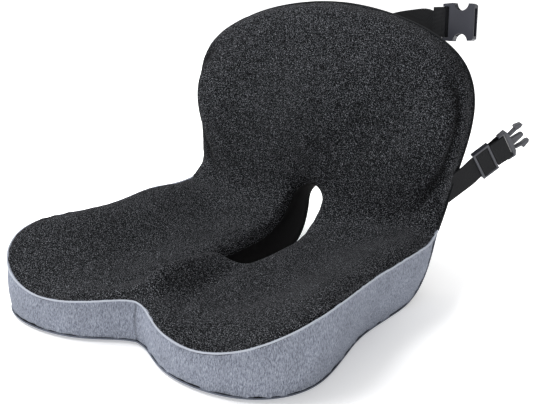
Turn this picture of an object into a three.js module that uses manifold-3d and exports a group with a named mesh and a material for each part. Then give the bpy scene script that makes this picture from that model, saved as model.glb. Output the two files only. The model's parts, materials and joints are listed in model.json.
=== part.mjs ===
// One-piece contoured seat cushion with an integral backrest.
// Units are millimetres. The cushion stands on z = 0, the front faces -Y, the left-right plane is x = 0.
// The frame's origin is on the underside, between the notch and the slot.
//
// The body is described by two bent sheets. A sheet is flat under the sitter, turns up through an arc
// and then runs straight at the recline of the backrest. A place on a sheet is written [x, along, height]:
// "along" is the distance front to back measured over the bend, "height" is the rise towards the sitter.
// The upper sheet carries the sitting and leaning surface, the lower sheet the underside and the rear.
// A section runs from the slot in the middle outwards over the top, down the side and back underneath.

import * as THREE from 'three';
import Module from 'manifold-3d';
import { mergeVertices } from 'three/addons/utils/BufferGeometryUtils.js';

const wasm = await Module();
wasm.setup();

const { lerp, degToRad, clamp } = THREE.MathUtils;

// ---------------------------------------------------------------- driving dimensions

// How far behind the frame's origin the dimensions below have their zero.
const originShift = 150;

const recline = degToRad(9);
const turn = Math.PI / 2 - recline;
const upperSheet = { level: 50, start: 40, radius: 80 };
const lowerSheet = { level: 0, start: 103, radius: 55 };

// The slot, and where seat and backrest part, measured along each sheet.
const slotHalfWidth = 24;
const slotFront = -67;
const slotTop = { upper: 137, lower: 222 };
const split = { upper: 88, lower: 190 };
const splitShare = 0.008;

// Upper seam of the side band from the notch to the rear corner.
const seatSeam = [
  [0, -214, 3], [10, -215.5, 2], [32, -231, -1], [66, -250, -4], [114, -258, -7], [165, -249, 4],
  [200, -222, 19], [217, -182, 31], [214, -120, 31], [205, -62, 26], [206, -4, 26], [207, 40, 27],
  [204, 76, 18], [194, 112, -7],
];
// Rear seam of the backrest from the rear corner to the middle of the top.
const backSeam = [
  [194, 112, -7], [190, 142, -24], [193, 175, -31], [201, 212, -32], [206, 252, -32], [202, 288, -32],
  [184, 318, -32], [145, 344, -32], [80, 365, -32], [0, 374, -32],
];
const corner = backSeam[0];
const bandFlare = 15;
const bandBulge = 2.5;
const heelStart = 45;
const lip = { height: 3, inset: 2 };
const seamRoll = { seat: 14, back: 22 };
// The wall round the backrest stands full; it fills out over this height above the corner.
const wallFullness = 1.6;
const wallFillsOver = 60;
const rimRoll = 12;
const crownWidth = { heel: 90, top: 38 };

const clothThickness = 1.5;
const clearance = 0.4;
const seamGap = 0.5;
const pipingRadius = 1.6;

// ---------------------------------------------------------------- sheets

function smooth(t) {
  const c = clamp(t, 0, 1);
  return c * c * (3 - 2 * c);
}

function bump(x, centre, width) {
  return Math.exp(-(((x - centre) / width) ** 2));
}

function onSheet(sheet, [x, along, height]) {
  const reach = along - sheet.start;
  const angle = clamp(reach / sheet.radius, 0, turn);
  const arm = sheet.radius - height;
  const flat = Math.min(0, reach);
  const straight = Math.max(0, reach - turn * sheet.radius);
  return new THREE.Vector3(
    x,
    sheet.start + flat + arm * Math.sin(angle) + straight * Math.cos(angle),
    sheet.level + sheet.radius - arm * Math.cos(angle) + straight * Math.sin(angle),
  );
}

function sheetNormal(sheet, along) {
  const angle = clamp((along - sheet.start) / sheet.radius, 0, turn);
  return new THREE.Vector3(0, -Math.sin(angle), Math.cos(angle));
}

function towards(from, to, distance) {
  const share = distance / Math.hypot(to[0] - from[0], to[1] - from[1]);
  return [lerp(from[0], to[0], share), lerp(from[1], to[1], share)];
}

// Quarter ellipse from "flat", where it runs along the sheet, to "end", where it runs along the normal.
// A fullness above 1 fills out its shoulder.
function quarter(flat, end, normal, angle, fullness = 1) {
  const reach = end.clone().sub(flat);
  const rise = normal.clone().multiplyScalar(reach.dot(normal));
  const run = reach.sub(rise);
  const across = Math.sin(angle) ** (1 / fullness);
  const down = 1 - Math.cos(angle) ** (1 / fullness);
  return flat.clone().addScaledVector(run, across).addScaledVector(rise, down);
}

// ---------------------------------------------------------------- cushion sections

// Edge of the slot on one sheet. Share runs from the front end to the split on the seat,
// and from the split to the top end on the backrest.
function slotEdge(layer, body, share) {
  const sign = body === 'seat' ? -1 : 1;
  const end = body === 'seat' ? slotFront : slotTop[layer];
  const middle = end - sign * slotHalfWidth;
  const arc = (slotHalfWidth * Math.PI) / 2;
  const straight = Math.abs(split[layer] - middle);
  const travelled = (body === 'seat' ? share : 1 - share) * (arc + straight);
  if (travelled > arc) return [slotHalfWidth, middle - sign * (travelled - arc)];
  const angle = travelled / slotHalfWidth;
  return [slotHalfWidth * Math.sin(angle), middle + sign * slotHalfWidth * Math.cos(angle)];
}

// Rise of the ridge between the thighs, which ends just behind the notch in the front.
function ridgeHeight(x, along) {
  return 17 * bump(x, 0, 28) * smooth((along + 222) / 42) * (1 - smooth((along + 100) / 80));
}

// Rise of the surface over the upper sheet away from the seams and the ridge:
// the hollows under the thighs, the lumbar bulge and the valleys beside it.
function surfaceHeight(x, along) {
  const thigh = -6 * bump(Math.abs(x), 95, 50) * bump(along, -150, 90);
  const lumbar = 15 * bump(x, 0, 72) * bump(along, 255, 75);
  const valley = -6 * bump(Math.abs(x), 118, 42) * bump(along, 250, 80);
  return thigh + lumbar + valley;
}

// Rise of the surface where it rolls over to the seam.
function edgeHeight(body, seam) {
  if (body === 'seat') return seam.z + 5;
  const wing = 12 * bump(seam.y, 235, 60) * smooth(seam.x / 150);
  return lerp(seam.z + 6, -2, smooth((seam.y - corner[1]) / 50)) + wing;
}

function heelRise(seam) {
  return clamp((seam.y - heelStart) / (corner[1] - heelStart), 0, 1);
}

// Bottom edge of the side band below a place of the upper seam; it sweeps up round the heel.
function bandFoot(seam) {
  const flare = bandFlare * smooth((seam.y + 260) / 200);
  const tip = onSheet(upperSheet, corner);
  const angle = (heelRise(seam) * Math.PI) / 2;
  return new THREE.Vector3(
    lerp(seam.x - flare, tip.x, heelRise(seam)),
    lerp(Math.min(seam.y, heelStart), tip.y, Math.sin(angle)),
    tip.z * (1 - Math.cos(angle)),
  );
}

// Place on the lower sheet level with the outer edge of a section.
function underEdge(body, seam, foot) {
  if (body === 'seat') return [foot.x, lerp(Math.min(seam.y, heelStart), split.lower, heelRise(seam))];
  const upright = new THREE.Vector3(0, Math.sin(recline), Math.cos(recline));
  const reach = foot.clone().sub(onSheet(lowerSheet, [foot.x, split.lower, 0])).dot(upright);
  return [foot.x, split.lower + reach * smooth((seam.y - corner[1]) / 60)];
}

const steps = { rim: 3, top: 8, roll: 4, band: 3, crown: 4, under: 4, wall: 3 };

// One section of the right half: a closed run of rows, and the row where each named stretch starts.
function section(body, seam, slotShare) {
  const rows = [];
  const start = {};
  const stretch = (name, count, place) => {
    start[name] = rows.length;
    for (let i = 0; i < count; i++) rows.push(place(i / count));
  };
  const slot = slotEdge('upper', body, slotShare);
  const slotUnder = slotEdge('lower', body, slotShare);
  const seamPoint = onSheet(upperSheet, [seam.x, seam.y, seam.z]);
  const inside = towards(slot, [seam.x, seam.y], rimRoll);
  const outside = towards([seam.x, seam.y], slot, seamRoll[body]);
  const surface = (t) => {
    const x = lerp(inside[0], outside[0], t);
    const along = lerp(inside[1], outside[1], t);
    const height = lerp(surfaceHeight(x, along), edgeHeight(body, seam), smooth((t - 0.35) / 0.65));
    return [x, along, height + ridgeHeight(x, along) * (1 - smooth((t - 0.7) / 0.3))];
  };
  const rimTop = onSheet(upperSheet, surface(0));
  const rimFoot = onSheet(upperSheet, [...slot, surface(0)[2] - rimRoll]);
  const rollTop = onSheet(upperSheet, surface(1));
  stretch('rim', steps.rim, (t) => (
    quarter(rimTop, rimFoot, sheetNormal(upperSheet, inside[1]), ((1 - t) * Math.PI) / 2)));
  stretch('top', steps.top, (t) => onSheet(upperSheet, surface(t)));
  const fullness = body === 'seat' ? 1 : lerp(1, wallFullness, smooth((seam.y - corner[1]) / wallFillsOver));
  stretch('roll', steps.roll, (t) => (
    quarter(rollTop, seamPoint, sheetNormal(upperSheet, outside[1]), (t * Math.PI) / 2, fullness)));

  let foot = seamPoint;
  if (body === 'seat') {
    foot = bandFoot(seam);
    const inward = new THREE.Vector3(-foot.x, slotUnder[1] - foot.y, 0).normalize();
    const height = seamPoint.z - foot.z;
    const hem = foot.clone().lerp(seamPoint, Math.min(lip.height / height, 0.3));
    stretch('band', steps.band, (t) => {
      const bulge = bandBulge * Math.sin(t * Math.PI) * smooth(height / 40);
      return seamPoint.clone().lerp(hem, t).addScaledVector(inward, -bulge);
    });
    foot = foot.addScaledVector(inward, lip.inset);
    stretch('lip', 1, () => hem);
  }
  const edge = underEdge(body, seam, foot);
  const centre = body === 'seat' ? slotUnder : [0, clamp(edge[1], split.lower, 330)];
  const crownReach = lerp(crownWidth.heel, crownWidth.top, smooth((seam.y - corner[1]) / 90));
  const crown = towards(edge, centre, crownReach);
  const crownPoint = onSheet(lowerSheet, [...crown, 0]);
  stretch('crown', steps.crown, (t) => {
    const point = quarter(crownPoint, foot, sheetNormal(lowerSheet, crown[1]), ((1 - t) * Math.PI) / 2);
    return point.setZ(Math.max(0, point.z));
  });
  const underPlace = (t) => (
    onSheet(lowerSheet, [lerp(crown[0], slotUnder[0], t), lerp(crown[1], slotUnder[1], t), 0]));
  stretch('under', steps.under, underPlace);
  stretch('wall', steps.wall, (t) => underPlace(1).lerp(rimFoot, t));
  start.end = rows.length;
  return { rows, start };
}

// ---------------------------------------------------------------- cushion grid

const halfStations = { seat: 23, back: 15 };

function mirror(point) {
  return new THREE.Vector3(-point.x, point.y, point.z);
}

// Sections round one body, right corner to left corner by way of the notch or of the top.
function makeGrid(body) {
  const points = (body === 'seat' ? [...seatSeam].reverse() : backSeam).map((p) => new THREE.Vector3(...p));
  const left = points.slice(0, -1).reverse().map(mirror);
  const seam = new THREE.CatmullRomCurve3([...points, ...left], false, 'centripetal');
  const count = halfStations[body];
  const right = [];
  let start;
  for (let i = 0; i <= count; i++) {
    const progress = lerp(splitShare, 1, i / count);
    const place = seam.getPointAt(progress / 2);
    if (i === count) place.x = 0;
    const slotShare = body === 'seat' ? (1 - progress) ** 2.2 : 1 - (1 - progress) ** 2;
    const made = section(body, place, slotShare);
    start = made.start;
    right.push(made.rows);
  }
  const columns = [...right, ...right.slice(0, -1).reverse().map((rows) => rows.map(mirror))];
  const grid = { columns, start };
  grid.normals = outwardNormals(columns);
  return grid;
}

function outwardNormals(columns) {
  const last = columns.length - 1;
  const rows = columns[0].length;
  const middle = columns[last / 2];
  const raw = columns.map((column, i) => column.map((_, j) => {
    const ahead = columns[Math.min(last, i + 1)][j];
    const behind = columns[Math.max(0, i - 1)][j];
    const round = ahead.clone().sub(behind);
    const before = column[(j + rows - 1) % rows];
    const after = column[(j + 1) % rows];
    const first = column[j].clone().sub(before).normalize();
    const second = after.clone().sub(column[j]).normalize();
    return round.cross(first.add(second)).normalize();
  }));
  const centre = middle.reduce((sum, p) => sum.add(p), new THREE.Vector3()).divideScalar(rows);
  const outwards = middle[6].clone().sub(centre).dot(raw[last / 2][6]) > 0;
  return outwards ? raw : raw.map((column) => column.map((n) => n.negate()));
}

// ---------------------------------------------------------------- solids

function closedGeometry(points, faces) {
  const geometry = new THREE.BufferGeometry().setFromPoints(points);
  let volume = 0;
  for (const [a, b, c] of faces) volume += points[a].dot(points[b].clone().cross(points[c]));
  geometry.setIndex((volume < 0 ? faces.map(([a, b, c]) => [a, c, b]) : faces).flat());
  geometry.computeVertexNormals();
  return geometry;
}

function quad(a, b, c, d) {
  return [[a, b, c], [a, c, d]];
}

// Flat-ended tube through rings that all have the same number of points.
function tube(rings) {
  const size = rings[0].length;
  const faces = [];
  for (let i = 0; i + 1 < rings.length; i++) {
    for (let j = 0; j < size; j++) {
      const k = (j + 1) % size;
      faces.push(...quad(i * size + j, (i + 1) * size + j, (i + 1) * size + k, i * size + k));
    }
  }
  faces.push(...cap(rings[0]));
  const offset = (rings.length - 1) * size;
  faces.push(...cap(rings[rings.length - 1]).map(([a, b, c]) => [a + offset, c + offset, b + offset]));
  return closedGeometry(rings.flat(), faces);
}

// Triangles over a nearly flat ring, turning the same way as the ring.
function cap(ring) {
  const normal = new THREE.Vector3();
  ring.forEach((p, i) => normal.add(p.clone().cross(ring[(i + 1) % ring.length])));
  normal.normalize();
  const across = new THREE.Vector3(1, 0, 0).cross(normal);
  if (across.length() < 0.3) across.set(0, 0, 1).cross(normal);
  across.normalize();
  const up = normal.clone().cross(across);
  const flat = ring.map((p) => new THREE.Vector2(p.dot(across), p.dot(up)));
  return THREE.ShapeUtils.triangulateShape(flat, []);
}

function atDepth(grid, i, j, depth) {
  return grid.columns[i][j].clone().addScaledVector(grid.normals[i][j], -depth);
}

// The foam under the cover of one body, cut flat below.
function foam(grid) {
  const depth = clothThickness + clearance;
  return tube(grid.columns.map((column, i) => column.map((_, j) => {
    const point = atDepth(grid, i, j, depth);
    return point.setZ(Math.max(depth, point.z));
  })));
}

// A cover panel over the rows "from" to "to". Its edges stop short of the seams.
function panel(grid, from, to) {
  const rows = grid.columns[0].length;
  const at = (i, j, depth) => {
    const point = atDepth(grid, i, j % rows, depth);
    const next = j === from ? from + 1 : to - 1;
    if (j !== from && j !== to) return point;
    const pull = grid.columns[i][next % rows].clone().sub(grid.columns[i][j % rows]).normalize();
    return point.addScaledVector(pull, seamGap);
  };
  const rings = grid.columns.map((_, i) => {
    const ring = [];
    for (let j = from; j <= to; j++) ring.push(at(i, j, 0));
    for (let j = to; j >= from; j--) ring.push(at(i, j, clothThickness));
    return ring;
  });
  return strip(rings, to - from + 1);
}

// Tube whose rings are two matching rows of points, so the ends close as ladders.
function strip(rings, width) {
  const size = 2 * width;
  const faces = [];
  for (let i = 0; i + 1 < rings.length; i++) {
    for (let j = 0; j < size; j++) {
      const near = i * size;
      const far = near + size;
      const k = (j + 1) % size;
      if (j < width) faces.push(...quad(near + j, far + j, far + k, near + k));
      else faces.push(...quad(near + k, near + j, far + j, far + k));
    }
  }
  const offset = (rings.length - 1) * size;
  for (let j = 0; j + 1 < width; j++) {
    const a = size - 1 - j;
    faces.push(...quad(j, j + 1, a - 1, a));
    faces.push(...quad(offset + j, offset + a, offset + a - 1, offset + j + 1));
  }
  return closedGeometry(rings.flat(), faces);
}

// Round piping laid on one row of the grid.
function piping(grid, row, radius) {
  const last = grid.columns.length - 1;
  const rings = grid.columns.map((column, i) => {
    const normal = grid.normals[i][row];
    const centre = column[row].clone().addScaledVector(normal, radius + clearance);
    const ahead = grid.columns[Math.min(last, i + 1)][row];
    const behind = grid.columns[Math.max(0, i - 1)][row];
    const across = ahead.clone().sub(behind).cross(normal).normalize();
    const ring = [];
    for (let k = 0; k < 6; k++) {
      const angle = (k * Math.PI) / 3;
      ring.push(centre.clone()
        .addScaledVector(normal, radius * Math.cos(angle))
        .addScaledVector(across, radius * Math.sin(angle)));
    }
    return ring;
  });
  return tube(rings);
}

// ---------------------------------------------------------------- straps and buckles

const webbing = { width: 37, thickness: 1.4 };
const rootSeam = [193, 172, -31];
const seamSpread = 0.157;
// The right strap leaves its seam sideways, backwards and up, with its face turned a little down.
const strapForward = new THREE.Vector3(0.533, 0.621, 0.567);
const strapFace = new THREE.Vector3(0.831, -0.481, -0.254);
const strapLength = 68;
const sliderFromBar = 29;
const loopLength = 16;
const loopSpan = 13;
const hardwareHalfWidth = 22.5;
const openingHalfWidth = webbing.width / 2 + 0.6;

const rearFoot = onSheet(lowerSheet, [0, lowerSheet.start + turn * lowerSheet.radius, 0]);
const upright = new THREE.Vector3(0, Math.sin(recline), Math.cos(recline));
const rearward = new THREE.Vector3(0, Math.cos(recline), -Math.sin(recline));

// Place over the flat of the rear: sideways, up the recline, and out from the rear surface.
function onRear(x, up, out) {
  return rearFoot.clone().addScaledVector(upright, up).addScaledVector(rearward, out).setX(x);
}

// Turns local geometry so that its X runs along "forward" and its Z along "outward".
function framed(geometry, origin, forward, outward) {
  const x = forward.clone().normalize();
  const z = outward.clone().addScaledVector(x, -outward.dot(x)).normalize();
  const basis = new THREE.Matrix4().makeBasis(x, z.clone().cross(x), z).setPosition(origin);
  return geometry.applyMatrix4(basis);
}

// Webbing along a path with its face turned to "face". Its root is cut along the seam it is sewn into.
function ribbon(path, face, seam) {
  const rings = path.map((point, i) => {
    const ahead = path[Math.min(path.length - 1, i + 1)];
    const behind = path[Math.max(0, i - 1)];
    const forward = ahead.clone().sub(behind).normalize();
    const across = face.clone().cross(forward).normalize();
    const out = forward.clone().cross(across);
    if (i === 0) across.addScaledVector(forward, seam.dot(forward) / seam.dot(across));
    const half = webbing.width / 2;
    const corners = [[-half, -1], [half, -1], [half, 1], [-half, 1]];
    return corners.map(([a, side]) => (
      point.clone().addScaledVector(across, a).addScaledVector(out, (side * webbing.thickness) / 2)));
  });
  return tube(rings);
}

// Flat shape in X and Y given by its outline, between two heights.
function plate(outline, bottom, top) {
  const shape = new THREE.Shape(outline.map(([x, y]) => new THREE.Vector2(x, y)));
  const geometry = new THREE.ExtrudeGeometry(shape, { depth: top - bottom, bevelEnabled: false });
  return geometry.translate(0, 0, bottom);
}

function block(x0, x1, y0, y1, z0, z1) {
  return new THREE.BoxGeometry(x1 - x0, y1 - y0, z1 - z0)
    .translate((x0 + x1) / 2, (y0 + y1) / 2, (z0 + z1) / 2);
}

function toManifold(geometry) {
  const bare = geometry.clone().deleteAttribute('normal').deleteAttribute('uv');
  const merged = mergeVertices(bare, 1e-4);
  return new wasm.Manifold(new wasm.Mesh({
    numProp: 3,
    vertProperties: merged.attributes.position.array,
    triVerts: new Uint32Array(merged.index.array),
  }));
}

function fromManifold(solid) {
  const mesh = solid.getMesh();
  const geometry = new THREE.BufferGeometry();
  geometry.setAttribute('position', new THREE.Float32BufferAttribute(mesh.vertProperties, 3));
  geometry.setIndex(Array.from(mesh.triVerts));
  geometry.computeVertexNormals();
  return geometry;
}

// Adds the first list of geometries together and takes the second list away.
function combine(added, removed = []) {
  let solid = added.map(toManifold).reduce((sum, next) => sum.add(next));
  for (const cut of removed) solid = solid.subtract(toManifold(cut));
  return fromManifold(solid);
}

// Webbing folded round a buckle bar at the origin, both layers running back along -X over the strap end.
function barLoop() {
  const outer = [[-loopLength, 2.6], [-12, 2.6], [-4, 3.7], [2.5, 3.7], [4.6, 2.2]];
  const inner = [[3.2, 1.4], [2, 2.3], [-4, 2.3], [-12, 1.2], [-loopLength, 1.2]];
  const below = (line) => line.map(([x, z]) => [x, -z]).reverse();
  const outline = [...outer, ...below(outer), ...below(inner), ...inner];
  return plate(outline, -webbing.width / 2, webbing.width / 2).rotateX(Math.PI / 2);
}

// Three-bar slider: the outer bars lie over the strap, the middle bar under it.
function triGlide() {
  const half = hardwareHalfWidth;
  const rails = [-1, 1].map((side) => (
    block(-12, 12, side > 0 ? openingHalfWidth : -half, side > 0 ? half : -openingHalfWidth, -2.8, 3.2)));
  const bars = [block(-12, -8.8, -half, half, 1.2, 3.2), block(8.8, 12, -half, half, 1.2, 3.2)];
  return combine([...rails, ...bars, block(-2, 2, -half, half, -2.8, -1.2)]);
}

// Free end of the webbing, sewn round the middle bar of the slider.
function returnEnd() {
  return block(-8, 8, -webbing.width / 2, webbing.width / 2, 1.2, 1.2 + webbing.thickness);
}

function maleBase() {
  const half = hardwareHalfWidth;
  const frame = plate([
    [-2, -half + 1], [9, -half], [12, -15], [12, 15], [9, half], [-2, half - 1],
  ], -3.2, 3.2);
  const tongue = plate([[11, -6], [27, -3.5], [29, -1.5], [29, 1.5], [27, 3.5], [11, 6]], -2, 2);
  const opening = openingHalfWidth;
  const window = block(1.7, 6.4, -opening, opening, -4, 4);
  const relief = [block(-3, 1.7, -opening, opening, 1.6, 4), block(-3, 1.7, -opening, opening, -4, -1.6)];
  return combine([frame, tongue], [window, ...relief]);
}

// Springy arm of the male half on the +Y side, with its barbed head.
function prong() {
  return plate([
    [12.6, 10], [23, 12], [29, 11.5], [33, 13.5], [31.5, 17], [24, 20], [21.5, 19.5], [21.5, 15.5],
    [12.6, 13.6],
  ], -2.6, 2.6);
}

function femaleBuckle() {
  const half = hardwareHalfWidth + 1;
  const body = plate([
    [-2, -half + 1], [10, -half], [37, -half + 1], [40, -half + 3], [40, half - 3], [37, half - 1],
    [10, half], [-2, half - 1],
  ], -5.5, 5.5);
  const mouth = block(12, 41, -17, 17, -3.4, 3.4);
  const opening = openingHalfWidth;
  const window = block(1.7, 6.4, -opening, opening, -6, 6);
  const relief = [block(-3, 1.7, -opening, opening, 1.6, 6), block(-3, 1.7, -opening, opening, -6, -1.6)];
  const arches = [-1, 1].map((side) => (
    new THREE.CylinderGeometry(9.5, 9.5, 12, 24).rotateX(Math.PI / 2).translate(22.5, side * half, 0)));
  return combine([body], [mouth, window, ...relief, ...arches]);
}

// ---------------------------------------------------------------- zipper

const zipper = { up: 66, halfLength: 80, tapeWidth: 11, teethWidth: 5, sliderAt: -72 };

// Lays local geometry on the rear: its X runs to the right, its Y down and its Z outwards.
function zipperFrame(geometry, x) {
  return framed(geometry, onRear(x, zipper.up, 0), new THREE.Vector3(1, 0, 0), rearward);
}

function zipperTape(side) {
  const inner = zipper.teethWidth / 2 + clearance;
  const outer = inner + zipper.tapeWidth;
  return block(-zipper.halfLength, zipper.halfLength, side > 0 ? inner : -outer, side > 0 ? outer : -inner,
    clearance, 1.2);
}

function zipperTeeth() {
  const half = zipper.teethWidth / 2;
  return block(3 - zipper.halfLength, zipper.halfLength - 3, -half, half, clearance, 2.4);
}

function zipperStop() {
  return block(-1.1, 1.1, -4, 4, clearance + 1.2, 3.2);
}

function zipperSlider() {
  const shell = plate([[-5, -4.6], [2, -5], [6, -3.6], [6, 3.6], [2, 5], [-5, 4.6]], 1.7, 4.4);
  const channel = block(-7, 7, -3, 3, 1, 2.9);
  const bridge = combine([block(-4, 4, -0.8, 0.8, 4, 7.8)], [block(-2.6, 2.6, -1, 1, 4.4, 6.8)]);
  return combine([shell, bridge], [channel]);
}

function zipperPull() {
  const rod = new THREE.CylinderGeometry(0.7, 0.7, 6.4, 12);
  const arms = [-1, 1].map((side) => (
    block(-0.5, 9, side > 0 ? 1.6 : -3.2, side > 0 ? 3.2 : -1.6, -0.5, 0.5)));
  const tab = plate([[8, -3.2], [22, -4], [24, -2], [24, 2], [22, 4], [8, 3.2]], -0.5, 0.5);
  return combine([rod, ...arms, tab]).translate(0, 0, 5.6);
}

// ---------------------------------------------------------------- assembly

const group = new THREE.Group();
group.position.y = originShift;

const looks = {
  foam: { color: 0xe8e2cf, roughness: 0.9, metalness: 0 },
  blackKnit: { color: 0x2c2e33, roughness: 0.95, metalness: 0 },
  greyKnit: { color: 0x9aa2b4, roughness: 0.9, metalness: 0 },
  lightPiping: { color: 0xd8dbe2, roughness: 0.7, metalness: 0 },
  webbing: { color: 0x1d1f24, roughness: 0.8, metalness: 0 },
  plastic: { color: 0x2f343f, roughness: 0.45, metalness: 0 },
  metal: { color: 0x9a9da1, roughness: 0.3, metalness: 1 },
};

function add(name, geometry, look) {
  const mesh = new THREE.Mesh(geometry, new THREE.MeshStandardMaterial(looks[look]));
  mesh.name = name;
  group.add(mesh);
}

function addCushion() {
  const seat = makeGrid('seat');
  const back = makeGrid('back');
  add('seat_foam', foam(seat), 'foam');
  add('back_foam', foam(back), 'foam');
  add('seat_top_panel', panel(seat, seat.start.rim, seat.start.band), 'blackKnit');
  add('seat_side_band', panel(seat, seat.start.band, seat.start.lip), 'greyKnit');
  add('seat_bottom_panel', panel(seat, seat.start.lip, seat.start.wall), 'blackKnit');
  add('back_front_panel', panel(back, back.start.rim, back.start.crown), 'blackKnit');
  add('back_rear_panel', panel(back, back.start.crown, back.start.wall), 'blackKnit');
  add('seat_slot_lining', panel(seat, seat.start.wall, seat.start.end), 'blackKnit');
  add('back_slot_lining', panel(back, back.start.wall, back.start.end), 'blackKnit');
  add('seat_piping', piping(seat, seat.start.band, pipingRadius), 'lightPiping');
  add('back_piping', piping(back, back.start.crown, pipingRadius), 'blackKnit');
}

// Direction of the rear seam where a strap is sewn in, on the right (side 1) or on the left (side -1).
function seamDirection(side) {
  return upright.clone().setX(side * seamSpread).normalize();
}

function addRightStrap() {
  const root = onSheet(upperSheet, rootSeam).add(new THREE.Vector3(4.6, 3.6, 0));
  const along = (distance) => root.clone().addScaledVector(strapForward, distance);
  const bar = along(strapLength);
  const slider = along(strapLength - sliderFromBar);
  const place = (geometry, origin) => framed(geometry, origin, strapForward, strapFace);
  const path = [0, 24, strapLength - loopSpan].map(along);
  add('right_strap', ribbon(path, strapFace, seamDirection(1)), 'webbing');
  add('strap_slider', place(triGlide(), slider), 'plastic');
  add('strap_return_end', place(returnEnd(), slider), 'webbing');
  add('right_strap_loop', place(barLoop(), bar), 'webbing');
  add('male_buckle', place(maleBase(), bar), 'plastic');
  add('buckle_prong_upper', place(prong(), bar), 'plastic');
  add('buckle_prong_lower', place(prong().rotateX(Math.PI), bar), 'plastic');
}

// The left strap lies across the rear, rises to the right and ends beyond the right shoulder.
function addLeftStrap() {
  const forward = new THREE.Vector3(1, 0, 0).addScaledVector(upright, 0.08).normalize();
  const face = rearward.clone().negate();
  const bar = onRear(139, 272, 14);
  const beforeBar = (distance) => bar.clone().addScaledVector(forward, -distance);
  const course = new THREE.CatmullRomCurve3([
    onRear(-199, 82, -9), onRear(-197, 84, 3), onRear(-167, 110, 13), onRear(-60, 186, 17),
    onRear(10, 233, 19), onRear(62, 259, 17), beforeBar(loopLength + 6)], false, 'centripetal');
  const path = [...course.getPoints(14), beforeBar(loopLength + 1), beforeBar(loopSpan)];
  add('left_strap', ribbon(path, face, seamDirection(-1)), 'webbing');
  add('left_strap_loop', framed(barLoop(), bar, forward, face), 'webbing');
  add('female_buckle', framed(femaleBuckle(), bar, forward, face), 'plastic');
}

function addZipper() {
  add('zipper_tape_upper', zipperFrame(zipperTape(-1), 0), 'webbing');
  add('zipper_tape_lower', zipperFrame(zipperTape(1), 0), 'webbing');
  add('zipper_teeth', zipperFrame(zipperTeeth(), 0), 'plastic');
  add('zipper_stop_left', zipperFrame(zipperStop(), -zipper.halfLength + 1.5), 'metal');
  add('zipper_stop_right', zipperFrame(zipperStop(), zipper.halfLength - 1.5), 'metal');
  add('zipper_slider', zipperFrame(zipperSlider(), zipper.sliderAt), 'metal');
  add('zipper_pull', zipperFrame(zipperPull(), zipper.sliderAt), 'metal');
}

addCushion();
addRightStrap();
addLeftStrap();
addZipper();

export default group;
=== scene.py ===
"""Looks for the contoured seat cushion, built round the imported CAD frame. All lengths are metres.

The cover is read back from the CAD panels: each panel's outer face is a grid of columns that run from the
right rear corner round to the left one, and rows that run from the tailbone slot out to the seam.
"""

import json
import math

import bmesh
import bpy
import numpy as np
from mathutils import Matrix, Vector, noise
from mathutils.bvhtree import BVHTree
from mathutils.kdtree import KDTree


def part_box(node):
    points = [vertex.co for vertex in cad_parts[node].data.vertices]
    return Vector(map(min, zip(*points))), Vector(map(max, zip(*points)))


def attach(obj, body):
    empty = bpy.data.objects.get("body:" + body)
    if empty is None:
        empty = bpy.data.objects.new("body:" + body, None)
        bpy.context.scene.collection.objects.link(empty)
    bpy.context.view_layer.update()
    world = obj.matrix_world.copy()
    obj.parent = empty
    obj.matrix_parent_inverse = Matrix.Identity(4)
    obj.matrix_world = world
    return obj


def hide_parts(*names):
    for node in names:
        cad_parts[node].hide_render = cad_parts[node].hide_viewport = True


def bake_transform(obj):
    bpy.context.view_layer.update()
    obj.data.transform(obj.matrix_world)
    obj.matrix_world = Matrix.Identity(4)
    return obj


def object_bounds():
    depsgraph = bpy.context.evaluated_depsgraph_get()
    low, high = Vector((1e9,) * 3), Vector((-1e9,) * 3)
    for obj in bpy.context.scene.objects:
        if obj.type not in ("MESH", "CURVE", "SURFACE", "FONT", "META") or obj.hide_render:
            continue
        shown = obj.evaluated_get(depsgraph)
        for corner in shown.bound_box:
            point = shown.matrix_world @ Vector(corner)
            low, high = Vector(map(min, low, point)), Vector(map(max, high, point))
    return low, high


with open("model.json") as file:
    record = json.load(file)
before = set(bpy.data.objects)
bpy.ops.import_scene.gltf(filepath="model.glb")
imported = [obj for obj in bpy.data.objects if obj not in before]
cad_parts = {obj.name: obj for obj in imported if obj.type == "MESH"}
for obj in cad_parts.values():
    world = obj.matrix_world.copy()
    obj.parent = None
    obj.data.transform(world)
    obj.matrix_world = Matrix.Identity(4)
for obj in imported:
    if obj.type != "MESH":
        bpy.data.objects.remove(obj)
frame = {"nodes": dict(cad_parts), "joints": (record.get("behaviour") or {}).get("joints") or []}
cad_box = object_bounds()
nodes = frame["nodes"]

MM = 0.001

# An inner skin of a cover panel lies within this distance of the foam, and an outer one doesn't.
INNER_SKIN_WITHIN = 1.15 * MM
SAME_POINT_WITHIN = 0.001 * MM
SAME_SEAM_WITHIN = 0.01 * MM

# The pieces of the cover, in the order of their material indices in the whole cushion.
PIECES = ["top_cover", "side_band", "base_cover", "slot_lining"]
TOP, BAND, BASE = range(3)

# How far the rear panel leans back where the zipper is.
RECLINE = math.radians(9)

CLOTH_THICKNESS = 1.5 * MM
CLOTH = {"frames": 20, "pressure": 4, "stretch": 30, "bending": 2, "limit": 4 * MM}
# How sharp a seam stays, then the tuck beside it: its depth, how far it reaches, how far from the seam
# it is deepest, and how near the seam it stops.
SEAM = {"crease": 0.75, "depth": 1.6 * MM, "reach": 9 * MM, "deepest": 4 * MM, "bare": 0.5 * MM}
# Puckers beside a seam: how many to a metre, the mean depth and how much it varies.
PUCKERS = {"scale": 95.0, "mean": 0.6, "change": 0.7}
# The crest between the thighs. "hollow_at" is in half widths, "front" and "rear" are places along the seat.
RIDGE = {"height": 9 * MM, "hollow": 3 * MM, "half_width": 15 * MM, "hollow_at": 2.1,
         "front": -48 * MM, "rear": 40 * MM, "rear_spread": 14 * MM}
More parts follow.
